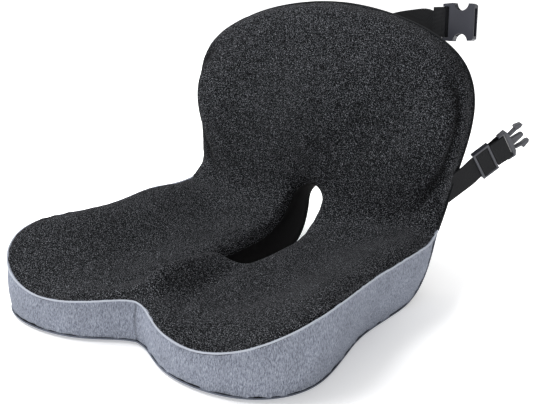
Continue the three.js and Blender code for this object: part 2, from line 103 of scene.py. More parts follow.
# The backrest's side walls are quilted along a line this far from the seam, between two heights.
WALL = {"width": 31 * MM, "groove": 4.5 * MM, "spread": 5.5 * MM, "foot": 105 * MM, "head": 262 * MM}
# The wall is gathered beside that line. The scales are per metre across, forward and up.
GATHERS = {"scales": (60.0, 24.0, 210.0), "change": 1.3 * MM, "mean": 0.6 * MM}
# The two ends of the side band meet in a seam at this x, in the notch. "shade" is how dark the painted
# shade in its groove is.
BAND_JOINT = {"x": 0, "depth": 1.6 * MM, "spread": 1.3 * MM, "shade": 0.6}
# Where the base turns up to the side band: two heights, and the place where it stops at the rear.
LOW_RIM = {"foot": 0.4 * MM, "top": 4.5 * MM, "rear": 190 * MM}
CORD_SIDES = 10

WEBBING_WIDTH = 36.6 * MM
WEBBING_THICKNESS = 1.4 * MM
WEBBING_STEP = 3 * MM
RIB_PITCH = 1.6 * MM
# The selvedge's points, from the edge inwards: its round, the top of its bead and the bead's foot. The
# bead is this much higher than the flat, and the round's height is this share of the bead's.
SELVEDGE = {"round": 0.5 * MM, "bead": 1.6 * MM, "foot": 2.6 * MM}
BEAD_HEIGHT = 1.06
ROUND_HEIGHT = 0.9
# How each strap is cut to find its run, how much of its root is left out of that, and how far the
# webbing runs on into the cover.
STRAP_CUTS = {"left": 26, "right": 8}
STRAP_ROOT = {"left": 26 * MM, "right": 36 * MM}
STRAP_TIP = 1 * MM
STRAP_RUN_ON = {"left": 14 * MM, "right": 40 * MM}
FOLD_PLUMPNESS = 0.5 * MM
FOLD_COLOR = (0.0075, 0.008, 0.0095)

# Edge rounding of the CAD parts that stay.
MOULDED_EDGE = 0.55 * MM
FOLDED_EDGE = 0.5 * MM
SMALL_EDGE = 0.2 * MM
FLAT_WITHIN = math.radians(0.5)
SHARP_FROM = math.radians(32)

COIL = {"pitch": 1.5 * MM, "reach": 1.9 * MM, "overlap": 0.1 * MM, "rise": 1 * MM, "sunk": 0.4 * MM,
        "radius": 0.42 * MM, "points": 9, "sides": 6}
DOTS = {"pitch": 14 * MM, "radius": 2.2 * MM, "height": 0.7 * MM, "sides": 10}
# A dot's rings, from the cover out, as shares of its radius and of its height.
DOT_RINGS = ((1.0, -0.15), (0.85, 0.55), (0.5, 0.9))
# A dot sits where the underside is this near its lowest level and faces almost straight down.
UNDERSIDE = {"level_within": 1.2 * MM, "facing": -0.99, "look_from": -50 * MM}

# Noise scales of the materials, per metre.
GRAIN = {"yarn": 900.0, "fibre": 2000.0, "clouds": 28.0, "fuzz": 1400.0, "twill": 260.0, "twist": 420.0,
         "cord_fuzz": 1300.0, "plastic": 2600.0, "patches": 60.0, "scratches": 1800.0}

CAMERA = {"azimuth": 35.95, "elevation": 18.4, "distance": 1.220, "target": (0, 0.1733, 0.0998),
          "sensor": 36, "lens": 65.9}
FLOOR_HALF = 30.0
FLOOR_GAP = 0.5 * MM
# The floor glows more the farther it is from the origin, which keeps the shadow short.
FLOOR_GLOW = {"From Min": 0.22, "From Max": 0.5, "To Min": 0.36, "To Max": 0.9}
# The world's strength for light that falls on things, and as the camera sees it.
WORLD = {"To Min": 0.26, "To Max": 0.95}
STUDIO_CENTRE = Vector((0, 0.17, 0.1))
# Each lamp's place from the centre of the studio, its size and its power.
LAMPS = {
    "key": ((-0.9, -0.45, 1.5), 1.2, 38),
    "fill": ((0.9, -1.5, 0.6), 1.2, 5),
    "back": ((-0.2, 1.3, 1.5), 1.0, 8),
}


# ---------------------------------------------------------------- reading the frame

def surface_tree(*names):
    """A tree for finding the nearest point on some CAD nodes."""
    mesh = bmesh.new()
    for name in names:
        mesh.from_mesh(nodes[name].data)
    tree = BVHTree.FromBMesh(mesh)
    mesh.free()
    return tree


def outer_skin(name, core):
    """The faces of a cover panel that look away from the foam, as welded triangles."""
    mesh = bmesh.new()
    mesh.from_mesh(nodes[name].data)
    bmesh.ops.remove_doubles(mesh, verts=mesh.verts, dist=SAME_POINT_WITHIN)
    inner = [v for v in mesh.verts if core.find_nearest(v.co)[3] < INNER_SKIN_WITHIN]
    bmesh.ops.delete(mesh, geom=inner, context="VERTS")
    return mesh


def walk_side(start, first):
    """Vertices along the boundary from one corner of a skin to the next, by way of "first"."""
    side = [start, first]
    while len(side[-1].link_faces) not in (1, 2):
        side.append(next(
            edge.other_vert(side[-1]) for edge in side[-1].link_edges
            if edge.is_boundary and edge.other_vert(side[-1]) is not side[-2]))
    return side


def beside(end, apex, seen):
    """The boundary vertex above the end of a row, where the triangle there doesn't already reach it."""
    return next((edge.other_vert(end) for edge in end.link_edges if edge.is_boundary
                 and edge.other_vert(end) not in seen and edge.other_vert(end) is not apex), None)


def next_row(row, seen):
    """The row of vertices on the far side of the triangles that stand on this one."""
    above = []
    for a, b in zip(row, row[1:]):
        edge = next(e for e in a.link_edges if e.other_vert(a) is b)
        apex = next(v for f in edge.link_faces for v in f.verts if v not in (a, b) and v not in seen)
        above.append(apex)
    start = beside(row[0], above[0], seen)
    if start:
        return [start] + above
    return above + [beside(row[-1], above[-1], seen)]


def panel_grid(name, core, row_key):
    """The outer face of a panel as an array [column, row, xyz]. Column 0 is on the right."""
    skin = outer_skin(name, core)
    corner = next(v for v in skin.verts if len(v.link_faces) in (1, 2) and v.is_boundary)
    sides = [walk_side(corner, e.other_vert(corner)) for e in corner.link_edges if e.is_boundary]
    rows = [max(sides, key=len)]
    seen = set(rows[0])
    while len(seen) < len(skin.verts):
        rows.append(next_row(rows[-1], seen))
        seen.update(rows[-1])
    grid = np.array([[v.co[:] for v in row] for row in rows]).transpose(1, 0, 2)
    skin.free()
    if grid[0, :, 0].mean() < grid[-1, :, 0].mean():
        grid = grid[::-1]
    if row_key(grid[:, 0]) > row_key(grid[:, -1]):
        grid = grid[:, ::-1]
    return grid


def from_slot(points):
    return np.abs(points[:, 0]).mean()


def from_sitter(points):
    return (points[:, 1] - points[:, 2]).mean()


# ---------------------------------------------------------------- cushion mesh

def read_cushion():
    """The grids of the cover. All but the band run round the bend: the seat's columns come first."""
    seat_core = surface_tree("seat_foam")
    back_core = surface_tree("back_foam")
    top = panel_grid("seat_top_panel", seat_core, from_slot)
    seat_columns = len(top)
    top = round_bend(top, panel_grid("back_front_panel", back_core, from_slot))
    lining = round_bend(panel_grid("seat_slot_lining", seat_core, from_sitter),
                        panel_grid("back_slot_lining", back_core, from_sitter))
    rear = panel_grid("back_rear_panel", back_core, from_slot)
    rear = np.concatenate([rear, rear[:, -1:]], axis=1)
    base = round_bend(panel_grid("seat_bottom_panel", seat_core, from_slot), rear)
    band = panel_grid("seat_side_band", seat_core, from_sitter)

    share(top[:, 0], lining[:, 0])
    share(lining[:, -1], base[:, 0])
    share(top[:seat_columns, -1], band[:, 0])
    share(base[:seat_columns, -1], band[:, -1])
    share(top[seat_columns:, -1], base[seat_columns:, -1])
    base[seat_columns:, -2] = base[seat_columns:, -1]
    tips = [np.repeat(base[end, -1][None, None], band.shape[1], axis=1) for end in (-1, seat_columns)]
    band = np.concatenate([tips[0], band, tips[1]])
    return {"top_cover": top, "side_band": band, "base_cover": base, "slot_lining": lining}


def round_bend(seat_grid, back_grid):
    return np.concatenate([seat_grid, back_grid[::-1]])


def share(a, b):
    """Makes two rows of points meet half way."""
    middle = (a + b) / 2
    a[:] = middle
    b[:] = middle


def welded_cushion(grids):
    """One closed mesh from the grids. Each face knows its piece by its material index."""
    mesh = bmesh.new()
    for index, name in enumerate(PIECES):
        grid = grids[name]
        columns, rows = grid.shape[:2]
        verts = [[mesh.verts.new(p) for p in column] for column in grid]
        steps = columns - 1 if name == "side_band" else columns
        for i in range(steps):
            for j in range(rows - 1):
                k = (i + 1) % columns
                corners = (verts[i][j], verts[k][j], verts[k][j + 1], verts[i][j + 1])
                mesh.faces.new(corners).material_index = index
    bmesh.ops.remove_doubles(mesh, verts=mesh.verts, dist=SAME_SEAM_WITHIN)
    bmesh.ops.dissolve_degenerate(mesh, edges=mesh.edges, dist=SAME_SEAM_WITHIN)
    bmesh.ops.recalc_face_normals(mesh, faces=mesh.faces)
    return mesh


# ---------------------------------------------------------------- mesh helpers

def link(name, mesh):
    """A new object from a bmesh."""
    data = bpy.data.meshes.new(name)
    mesh.to_mesh(data)
    mesh.free()
    piece = bpy.data.objects.new(name, data)
    bpy.context.scene.collection.objects.link(piece)
    data.shade_smooth()
    return piece


def apply_modifiers(piece):
    """Puts the evaluated mesh in place of the object's own and drops its modifiers."""
    bpy.context.view_layer.update()
    evaluated = piece.evaluated_get(bpy.context.evaluated_depsgraph_get())
    data = bpy.data.meshes.new_from_object(evaluated)
    piece.modifiers.clear()
    piece.data = data
    return piece


def coordinates(data):
    values = np.empty(len(data.vertices) * 3)
    data.vertices.foreach_get("co", values)
    return values.reshape(-1, 3)


def point_attribute(data, name, values):
    layer = data.attributes.get(name) or data.attributes.new(name, "FLOAT_VECTOR", "POINT")
    layer.data.foreach_set("vector", np.ascontiguousarray(values, np.float32).ravel())


def mark_painted_groove_shade(data, amount):
    """Notes how deep in a sewn groove each vertex lies, 0 to 1, for the material to darken as painted
    shade.
    """
    layer = data.attributes.get("painted_groove_shade") or data.attributes.new("painted_groove_shade", "FLOAT", "POINT")
    before = np.empty(len(data.vertices), np.float32)
    layer.data.foreach_get("value", before)
    layer.data.foreach_set("value", np.maximum(before, amount).astype(np.float32))


def tube(mesh, centres, outs, outline):
    """Adds a closed tube to mesh: the outline (across, out) is carried along the centres."""
    centres = np.asarray(centres, float)
    ahead = np.gradient(centres, axis=0)
    ahead /= np.linalg.norm(ahead, axis=1)[:, None]
    outs = outs - (outs * ahead).sum(1)[:, None] * ahead
    outs /= np.linalg.norm(outs, axis=1)[:, None]
    across = np.cross(outs, ahead)
    rings = [
        [mesh.verts.new(centre + a * side + b * out) for a, b in outline]
        for centre, side, out in zip(centres, across, outs)]
    size = len(outline)
    for near, far in zip(rings, rings[1:]):
        for j in range(size):
            k = (j + 1) % size
            mesh.faces.new((near[j], near[k], far[k], far[j]))
    mesh.faces.new(rings[0][::-1])
    mesh.faces.new(rings[-1])


def circle(radius, sides):
    return [(radius * math.cos(i * math.tau / sides), radius * math.sin(i * math.tau / sides))
            for i in range(sides)]


# ---------------------------------------------------------------- padded cover

def crease_seams(mesh, sharpness):
    layer = mesh.edges.layers.float.new("crease_edge")
    for edge in mesh.edges:
        if len({f.material_index for f in edge.link_faces}) > 1:
            edge[layer] = sharpness


def subdivide(piece, levels):
    modifier = piece.modifiers.new("smooth", "SUBSURF")
    modifier.levels = modifier.render_levels = levels
    return apply_modifiers(piece)


def pieces_at(data):
    """For every vertex, the set of the pieces that meet there."""
    meeting = [set() for _ in data.vertices]
    for face in data.polygons:
        for vertex in face.vertices:
            meeting[vertex].add(face.material_index)
    return meeting


def seam_vertices(data, pair=None):
    """Indices of the vertices where two pieces meet: any two, or a given pair."""
    return [index for index, pieces in enumerate(pieces_at(data))
            if (pair <= pieces if pair else len(pieces) > 1)]


def seam_distance(data, pair=None):
    """Distance of every vertex to the nearest seam."""
    seams = seam_vertices(data, pair)
    tree = KDTree(len(seams))
    for index in seams:
        tree.insert(data.vertices[index].co, index)
    tree.balance()
    return np.array([tree.find(v.co)[2] for v in data.vertices])


def swell(piece):
    """Blows the cover up a little as cloth sewn down at its seams, and keeps the result."""
    data = piece.data
    rest = coordinates(data)
    pins = piece.vertex_groups.new(name="seams")
    pins.add(seam_vertices(data), 1.0, "REPLACE")
    cloth = piece.modifiers.new("cloth", "CLOTH")
    cloth.settings.vertex_group_mass = "seams"
    cloth.settings.use_pressure = True
    cloth.settings.uniform_pressure_force = CLOTH["pressure"]
    cloth.settings.effector_weights.gravity = 0
    cloth.settings.tension_stiffness = CLOTH["stretch"]
    cloth.settings.compression_stiffness = CLOTH["stretch"]
    cloth.settings.bending_stiffness = CLOTH["bending"]
    cloth.collision_settings.use_collision = False
    cloth.point_cache.frame_start = 1
    cloth.point_cache.frame_end = CLOTH["frames"]
    scene = bpy.context.scene
    for step in range(1, CLOTH["frames"] + 1):
        scene.frame_set(step)
        bpy.context.view_layer.update()
    evaluated = piece.evaluated_get(bpy.context.evaluated_depsgraph_get())
    move = coordinates(evaluated.data) - rest
    piece.modifiers.clear()
    piece.vertex_groups.clear()
    scene.frame_set(1)
    length = np.linalg.norm(move, axis=1)[:, None]
    limit = CLOTH["limit"]
    kept = limit * np.tanh(length / limit) / np.maximum(length, 1e-9)
    data.vertices.foreach_set("co", (rest + move * kept).ravel())
    data.update()


def tuck_seams(piece):
    """Pulls the cover in beside its seams, more at each pucker."""
    data = piece.data
    data.update()
    distance = seam_distance(data)
    points = coordinates(data)
    normals = np.array([v.normal[:] for v in data.vertices])
    pucker = np.array([noise.noise(Vector(p) * PUCKERS["scale"]) for p in points])
    pucker = PUCKERS["mean"] + PUCKERS["change"] * pucker
    fall = np.exp(-((distance - SEAM["deepest"]) / SEAM["reach"]) ** 2) * (distance > SEAM["bare"])
    points -= normals * (fall * SEAM["depth"] * pucker)[:, None]
    data.vertices.foreach_set("co", points.ravel())
    data.update()


def rest_on_floor(piece):
    """Presses flat what the swelling pushed below the CAD's underside."""
    data = piece.data
    points = coordinates(data)
    points[:, 2] = np.maximum(points[:, 2], cad_box[0].z)
    data.vertices.foreach_set("co", points.ravel())
    data.update()


def push_in(data, points, depth):
    """Moves each vertex inwards by its own depth."""
    normals = np.array([v.normal[:] for v in data.vertices])
    data.vertices.foreach_set("co", (points - normals * depth[:, None]).ravel())
    data.update()


def fade(values, middle, spread=6 * MM):
    """Rises smoothly from 0 to 1 as the values pass the middle one."""
    return 1 / (1 + np.exp(-(values - middle) / spread))


def pinch_ridge(piece):
    """Draws the cover up into a narrow crest between the thighs, with a hollow on each side."""
    data = piece.data
    points = coordinates(data)
    top = np.array([pieces == {TOP} for pieces in pieces_at(data)])
    held = 1 - np.exp(-(seam_distance(data) / RIDGE["half_width"]) ** 2)
    across = np.abs(points[:, 0]) / RIDGE["half_width"]
    crest = RIDGE["height"] * np.exp(-across ** 2)
    hollow = RIDGE["hollow"] * np.exp(-(across - RIDGE["hollow_at"]) ** 2)
    along = fade(points[:, 1], RIDGE["front"])
    along = along * (1 - fade(points[:, 1], RIDGE["rear"], RIDGE["rear_spread"]))
    points[:, 2] += top * held * along * (crest - hollow)
    data.vertices.foreach_set("co", points.ravel())
    data.update()


def quilt_wall(piece):
    """Sews a groove along the front of the backrest's sides and gathers the wall beside it."""
    data = piece.data
    points = coordinates(data)
    distance = seam_distance(data, {TOP, BASE})
    front = np.array([pieces == {TOP} for pieces in pieces_at(data)])
    front = front * fade(points[:, 2], WALL["foot"]) * (1 - fade(points[:, 2], WALL["head"]))
    groove = front * np.exp(-((distance - WALL["width"]) / WALL["spread"]) ** 2)
    wall = front * np.exp(-((distance - WALL["width"] / 2) / (WALL["width"] / 3)) ** 2)
    gathers = np.array([noise.noise(Vector(p)) for p in points * GATHERS["scales"]])
    gathers = GATHERS["change"] * gathers - GATHERS["mean"]
    push_in(data, points, groove * WALL["groove"] + wall * gathers)
    # The groove also gets painted shade in the cloth's colour.
    mark_painted_groove_shade(data, groove)


def sew_band_joint(piece):
    """The seam that closes the side band, in the notch between the thighs."""
    data = piece.data
    points = coordinates(data)
    band = np.array([BAND in pieces for pieces in pieces_at(data)])
    front = points[:, 1] < 0
    offset = (points[:, 0] - BAND_JOINT["x"]) / BAND_JOINT["spread"]
    groove = band * front * np.exp(-offset ** 2)
    push_in(data, points, groove * BAND_JOINT["depth"])
    # The groove also gets painted shade, weaker than on the wall.
    mark_painted_groove_shade(data, groove * BAND_JOINT["shade"])


def chain(mesh, first, second):
    """Vertices of the seam between two pieces in order, from one end to the other."""
    pair = {first, second}
    edges = [e for e in mesh.edges if {f.material_index for f in e.link_faces} == pair]
    follow = {}
    for edge in edges:
        a, b = edge.verts
        follow.setdefault(a, []).append(b)
        follow.setdefault(b, []).append(a)
    start = min((v for v in follow if len(follow[v]) == 1), key=lambda v: -v.co.x, default=None)
    start = start or next(iter(follow))
    ordered = [start]
    seen = {start}
    while True:
        onward = [v for v in follow[ordered[-1]] if v not in seen]
        if not onward:
            return ordered
        ordered.append(onward[0])
        seen.add(onward[0])


def cord(name, verts, radius, lift):
    """A round cord laid along a chain of seam vertices."""
    mesh = bmesh.new()
    centres = np.array([v.co + v.normal * lift for v in verts])
    centres[1:-1] = (centres[:-2] + 2 * centres[1:-1] + centres[2:]) / 4
    tube(mesh, centres, np.array([v.normal[:] for v in verts]), circle(radius, CORD_SIDES))
    return link(name, mesh)


def split_piece(source, index, name, thickness):
    """One piece of the cover as its own closed shell."""
    mesh = source.copy()
    bmesh.ops.delete(mesh, geom=[f for f in mesh.faces if f.material_index != index], context="FACES")
    for face in mesh.faces:
        face.material_index = 0
    piece = link(name, mesh)
    shell = piece.modifiers.new("thickness", "SOLIDIFY")
    shell.thickness = thickness
    shell.offset = -1
    return apply_modifiers(piece)


# ---------------------------------------------------------------- materials

class Recipe:
    """Short names for wiring one material's nodes."""

    def __init__(self, name):
        self.material = bpy.data.materials.new(name)
        self.material.use_nodes = True
        self.tree = self.material.node_tree
        self.surface = self.tree.nodes["Principled BSDF"]

    def node(self, kind, settings=None, **inputs):
        node = self.tree.nodes.new(kind)
        for key, value in (settings or {}).items():
            setattr(node, key, value)
        for key, value in inputs.items():
            self.feed(node.inputs[key.replace("_", " ")], value)
        return node

    def feed(self, socket, value):
        if isinstance(value, bpy.types.NodeSocket):
            self.tree.links.new(value, socket)
        else:
            socket.default_value = value

    def place(self):
        """Where a point is at rest, in metres, whatever the pose."""
        return self.node("ShaderNodeAttribute", {"attribute_name": "rest"}).outputs["Vector"]

    def weave(self):
        """Place on the cloth: across it and along it, in metres."""
        return self.node("ShaderNodeAttribute", {"attribute_name": "weave"}).outputs["Vector"]

    def multiply_vector(self, vector, scale):
        node = self.tree.nodes.new("ShaderNodeVectorMath")
        node.operation = "MULTIPLY"
        self.feed(node.inputs[0], vector)
        node.inputs[1].default_value = scale
        return node.outputs["Vector"]

    def noise(self, vector, scale, detail=2.0, roughness=0.5):
        node = self.node(
            "ShaderNodeTexNoise", Vector=vector, Scale=scale, Detail=detail, Roughness=roughness)
        return node.outputs["Fac"]

    def wave(self, vector, scale, direction, distortion=0.0):
        return self.node(
            "ShaderNodeTexWave", {"bands_direction": direction, "wave_profile": "SIN"},
            Vector=vector, Scale=scale, Distortion=distortion).outputs["Fac"]

    def ramp(self, value, *stops):
        """Grey or colour ramp through (position, colour) stops."""
        node = self.node("ShaderNodeValToRGB", Fac=value)
        elements = node.color_ramp.elements
        while len(elements) < len(stops):
            elements.new(0.5)
        for element, (position, color) in zip(elements, stops):
            element.position = position
            element.color = (*color, 1) if isinstance(color, tuple) else (color, color, color, 1)
        return node.outputs["Color"]

    def math(self, operation, a, b=0.0):
        node = self.tree.nodes.new("ShaderNodeMath")
        node.operation = operation
        self.feed(node.inputs[0], a)
        self.feed(node.inputs[1], b)
        return node.outputs["Value"]

    def mix(self, factor, a, b):
        node = self.tree.nodes.new("ShaderNodeMix")
        node.data_type = "RGBA"
        self.feed(node.inputs["Factor"], factor)
        self.feed(node.inputs["A"], (*a, 1) if isinstance(a, tuple) else a)
        self.feed(node.inputs["B"], (*b, 1) if isinstance(b, tuple) else b)
        return node.outputs["Result"]

    def bump(self, height, distance, strength=1.0, under=None):
        node = self.node("ShaderNodeBump", Height=height, Distance=distance, Strength=strength)
        if under is not None:
            self.feed(node.inputs["Normal"], under)
        return node.outputs["Normal"]

    def finish(self, **inputs):
        for key, value in inputs.items():
            self.feed(self.surface.inputs[key.replace("_", " ")], value)
        return self.material


def heather(name, ground, fleck, stretch, fleck_from, fleck_to, sheen, rim=None):
    """Knit of two yarns: light flecks lie scattered over a darker ground, drawn out by "stretch"."""
    r = Recipe(name)
    place = r.multiply_vector(r.place(), stretch)
    coarse = r.noise(place, GRAIN["yarn"], 1.0, 0.5)
    fine = r.noise(place, GRAIN["fibre"], 1.0, 0.5)
    cloudy = r.noise(r.place(), GRAIN["clouds"], 3.0, 0.6)
    yarn = r.math("ADD", r.math("MULTIPLY", coarse, 0.6), r.math("MULTIPLY", fine, 0.4))
    light = r.ramp(yarn, (fleck_from, 0.0), (fleck_to, 1.0))
    shade = r.ramp(cloudy, (0.3, 0.9), (0.7, 1.1))
    color = r.mix(light, ground, fleck)
    if rim:
        color = r.mix(low_rim(r), color, rim)
    tone = r.node("ShaderNodeVectorMath", {"operation": "MULTIPLY"})
    r.feed(tone.inputs[0], color)
    # Painted shade: the colour is darkened down to a quarter where a sewn groove lies.
    painted_groove_shade = r.node("ShaderNodeAttribute", {"attribute_name": "painted_groove_shade"}).outputs["Fac"]
    r.feed(tone.inputs[1], r.mix(painted_groove_shade, shade, (0.25, 0.25, 0.25)))
    loops = r.noise(r.place(), GRAIN["yarn"], 2.0, 0.6)
    normal = r.bump(loops, 0.0006, 0.55)
    normal = r.bump(cloudy, 0.0015, 0.25, normal)
    r.finish(Base_Color=tone.outputs["Vector"], Roughness=0.92, Normal=normal,
             Sheen_Weight=sheen, Sheen_Roughness=0.55, Sheen_Tint=(*fleck, 1))
    r.surface.inputs["Specular IOR Level"].default_value = 0.12
    return r.material


def low_rim(r):
    """1 on the low rim where the base turns up to the side band, else 0."""
    split = r.node("ShaderNodeSeparateXYZ", Vector=r.place())
    above = r.math("GREATER_THAN", split.outputs["Z"], LOW_RIM["foot"])
    below = r.math("LESS_THAN", split.outputs["Z"], LOW_RIM["top"])
    ahead = r.math("LESS_THAN", split.outputs["Y"], LOW_RIM["rear"])
    return r.math("MULTIPLY", r.math("MULTIPLY", above, below), ahead)


def webbing_material(name, color):
    """Ribbed webbing: ribs run along it, with a fine twill on each."""
    r = Recipe(name)
    weave = r.weave()
    split = r.node("ShaderNodeSeparateXYZ", Vector=weave)
    ribs = r.math("SINE", r.math("MULTIPLY", split.outputs["X"], math.tau / RIB_PITCH))
    twill = r.wave(weave, GRAIN["twill"], "DIAGONAL", 0.4)
    fuzz = r.noise(r.place(), GRAIN["fuzz"], 2.0, 0.6)
    height = r.math("ADD", r.math("MULTIPLY", ribs, 0.6), r.math("MULTIPLY", twill, 0.4))
    shade = r.ramp(height, (0.1, tuple(0.6 * c for c in color)), (0.9, tuple(1.3 * c for c in color)))
    normal = r.bump(height, 0.0004, 0.5)
    normal = r.bump(fuzz, 0.0002, 0.4, normal)
    r.surface.inputs["Specular IOR Level"].default_value = 0.25
    return r.finish(Base_Color=shade, Roughness=0.8, Normal=normal, Sheen_Weight=0.02)


def fold_material(name, color, across):
    """Webbing folded round a bar: ribs run along it, side by side in the direction "across"."""
    r = Recipe(name)
    position = r.node("ShaderNodeTexCoord").outputs["Object"]
    along = r.node("ShaderNodeVectorMath", {"operation": "DOT_PRODUCT"})
    r.feed(along.inputs[0], position)
    along.inputs[1].default_value = across
    ribs = r.math("SINE", r.math("MULTIPLY", along.outputs["Value"], math.tau / RIB_PITCH))
    fuzz = r.noise(position, GRAIN["fuzz"], 2.0, 0.6)
    shade = r.ramp(ribs, (0.0, tuple(0.6 * c for c in color)), (1.0, tuple(1.6 * c for c in color)))
    normal = r.bump(r.math("ADD", r.math("MULTIPLY", ribs, 0.5), fuzz), 0.0004, 0.6)
    r.surface.inputs["Specular IOR Level"].default_value = 0.25
    return r.finish(Base_Color=shade, Roughness=0.8, Normal=normal)


def plastic_material(name, color, roughness):
    """Moulded plastic: satin spark-eroded skin, a little paler where edges are worn."""
    r = Recipe(name)
    geometry = r.node("ShaderNodeNewGeometry")
    grain = r.noise(geometry.outputs["Position"], GRAIN["plastic"], 2.0, 0.6)
    patches = r.noise(geometry.outputs["Position"], GRAIN["patches"], 3.0, 0.6)
    edge = r.ramp(geometry.outputs["Pointiness"], (0.5, 0.0), (0.6, 0.6))
    base = r.mix(edge, color, tuple(min(1.0, 2.2 * c + 0.01) for c in color))
    rough = r.math("ADD", roughness - 0.08, r.math("MULTIPLY", patches, 0.16))
    return r.finish(Base_Color=base, Roughness=rough, Normal=r.bump(grain, 0.0001, 0.35))


def metal_material(name, color):
    """Plated metal with fine scratches."""
    r = Recipe(name)
    position = r.node("ShaderNodeNewGeometry").outputs["Position"]
    scratches = r.noise(r.multiply_vector(position, (1.0, 1.0, 0.15)), GRAIN["scratches"], 3.0, 0.6)
    rough = r.math("ADD", 0.22, r.math("MULTIPLY", scratches, 0.25))
    return r.finish(Base_Color=(*color, 1), Metallic=1.0, Roughness=rough,
                    Normal=r.bump(scratches, 0.00008, 0.4))


def cord_material(name, color):
    """Twisted cover of a piping cord."""
    r = Recipe(name)
    twist = r.wave(r.place(), GRAIN["twist"], "DIAGONAL", 1.0)
    fuzz = r.noise(r.place(), GRAIN["cord_fuzz"], 2.0, 0.6)
    dark = tuple(0.8 * c for c in color)
    light = tuple(min(1.0, 1.1 * c) for c in color)
    shade = r.ramp(twist, (0.0, dark), (1.0, light))
    r.surface.inputs["Specular IOR Level"].default_value = 0.25
    normal = r.bump(r.math("ADD", twist, fuzz), 0.0003, 0.5)
    return r.finish(Base_Color=shade, Roughness=0.8, Normal=normal)


# ---------------------------------------------------------------- camera, light and floor

def setup_floor():
    """A plain pale floor that the cushion stands on."""
    mesh = bpy.data.meshes.new("floor")
    half = FLOOR_HALF
    corners = [(-half, -half, 0), (half, -half, 0), (half, half, 0), (-half, half, 0)]
    mesh.from_pydata(corners, [], [(0, 1, 2, 3)])
    floor = bpy.data.objects.new("floor", mesh)
    bpy.context.scene.collection.objects.link(floor)
    floor.location.z = cad_box[0].z - FLOOR_GAP
    r = Recipe("floor")
    away = r.node("ShaderNodeVectorMath", {"operation": "LENGTH"})
    r.feed(away.inputs[0], r.node("ShaderNodeNewGeometry").outputs["Position"])
    glow = r.node("ShaderNodeMapRange", Value=away.outputs["Value"])
    for end, value in FLOOR_GLOW.items():
        glow.inputs[end].default_value = value
    mesh.materials.append(r.finish(
        Base_Color=(0.86, 0.86, 0.87, 1), Roughness=0.9, Emission_Color=(1, 1, 1, 1),
        Emission_Strength=glow.outputs["Result"]))


def setup_world():
    """White all round: soft as a light, and bright as the camera's background."""
    world = bpy.data.worlds.new("studio")
    world.use_nodes = True
    tree = world.node_tree
    seen = tree.nodes.new("ShaderNodeLightPath")
    strength = tree.nodes.new("ShaderNodeMapRange")
    tree.links.new(seen.outputs["Is Camera Ray"], strength.inputs["Value"])
    for end, value in WORLD.items():
        strength.inputs[end].default_value = value
    tree.links.new(strength.outputs["Result"], tree.nodes["Background"].inputs["Strength"])
    tree.nodes["Background"].inputs["Color"].default_value = (1, 1, 1, 1)
    bpy.context.scene.world = world


def setup_lamps():
    for name, (place, size, power) in LAMPS.items():
        light = bpy.data.lights.new(name, "AREA")
        light.size = size
        light.energy = power
        lamp = bpy.data.objects.new(name, light)
        bpy.context.scene.collection.objects.link(lamp)
        lamp.location = STUDIO_CENTRE + Vector(place)
        lamp.rotation_euler = (-Vector(place)).to_track_quat("-Z", "Y").to_euler()


def setup_camera():
    azimuth = math.radians(CAMERA["azimuth"])
    elevation = math.radians(CAMERA["elevation"])
    level = math.cos(elevation)
    back = Vector((math.sin(azimuth) * level, -math.cos(azimuth) * level, math.sin(elevation)))
    data = bpy.data.cameras.new("camera")
    data.sensor_width = CAMERA["sensor"]
    data.lens = CAMERA["lens"]
    camera = bpy.data.objects.new("camera", data)
    bpy.context.scene.collection.objects.link(camera)
    camera.location = Vector(CAMERA["target"]) + CAMERA["distance"] * back
    camera.rotation_euler = (-back).to_track_quat("-Z", "Y").to_euler()
    bpy.context.scene.camera = camera


# ---------------------------------------------------------------- cushion

def finish_piece(piece, slot_name, material, *stood_for):
    """Rest places for the material, the material itself, and what the piece stands for."""
    if not piece.data.attributes.get("rest"):
        point_attribute(piece.data, "rest", coordinates(piece.data))
    piece.data.materials.clear()
    piece.data.materials.append(material)
    if stood_for:
        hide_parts(*stood_for)
    return piece


def build_cushion(looks):
    """The padded body: shaped, blown up and tucked as one closed form, then parted at its seams."""
    mesh = welded_cushion(read_cushion())
    crease_seams(mesh, SEAM["crease"])
    whole = link("whole", mesh)
    subdivide(whole, 1)
    swell(whole)
    subdivide(whole, 2)
    pinch_ridge(whole)
    tuck_seams(whole)
    quilt_wall(whole)
    sew_band_joint(whole)
    rest_on_floor(whole)

    source = bmesh.new()
    source.from_mesh(whole.data)
    source.normal_update()
    bpy.data.objects.remove(whole)
    replaced = {
        "top_cover": ("black_knit", ["seat_top_panel", "back_front_panel", "seat_foam", "back_foam"]),
        "side_band": ("grey_knit", ["seat_side_band"]),
        "base_cover": ("black_knit", ["seat_bottom_panel", "back_rear_panel"]),
        "slot_lining": ("black_knit", ["seat_slot_lining", "back_slot_lining"]),
    }
    for index, name in enumerate(PIECES):
        slot_name, stood_for = replaced[name]
        piece = split_piece(source, index, name, CLOTH_THICKNESS)
        finish_piece(piece, slot_name, looks[name], *stood_for)
        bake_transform(piece)
    # Each cord: its name, its seam, its radius and lift, its slot and look, and the node it stands for.
    cords = [
        ("band_piping", (TOP, BAND), 1.0 * MM, 0.5 * MM, "light_piping", "light_cord", ["seat_piping"]),
        ("back_edge_piping", (TOP, BASE), 1.3 * MM, 0.4 * MM, "black_knit", "dark_cord", ["back_piping"]),
        ("hem_cord", (BAND, BASE), 0.8 * MM, 0.1 * MM, "grey_knit", "grey_cord", []),
    ]
    for name, pair, radius, lift, slot_name, look, stood_for in cords:
        piece = cord(name, chain(source, *pair), radius, lift)
        finish_piece(piece, slot_name, looks[look], *stood_for)
        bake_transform(piece)
    source.free()


# ---------------------------------------------------------------- straps

